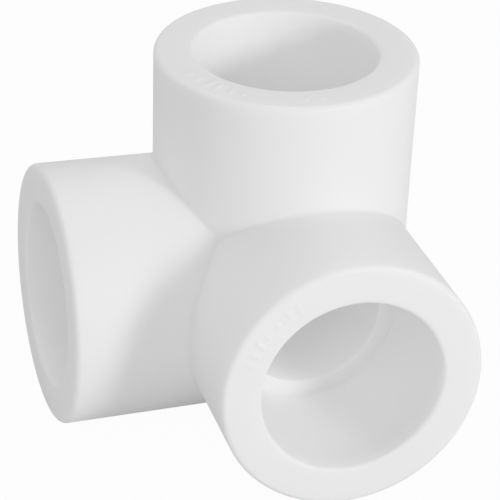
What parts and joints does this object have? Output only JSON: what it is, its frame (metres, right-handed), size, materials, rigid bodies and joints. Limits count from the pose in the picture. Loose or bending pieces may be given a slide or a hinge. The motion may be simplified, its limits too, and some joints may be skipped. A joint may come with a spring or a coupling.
{
  "type": "three-way corner pipe fitting",
  "caption": "White one-piece plastic corner fitting whose equal pipe sockets open up, left and forward, square to one another, with a stop shoulder inside each.",
  "frame": {"origin": "the point where the three port axes cross, from which pipe layouts place the fitting", "axes": "+Z out of the top port, -X out of the left port, -Y out of the front port"},
  "size_m": [0.05, 0.05, 0.05],
  "materials": {
    "white_polypropylene": "smooth moulded polypropylene with a soft satin sheen"
  },
  "bodies": {
    "root": {"fitting_body": "white_polypropylene"}
  },
  "joints": []
}
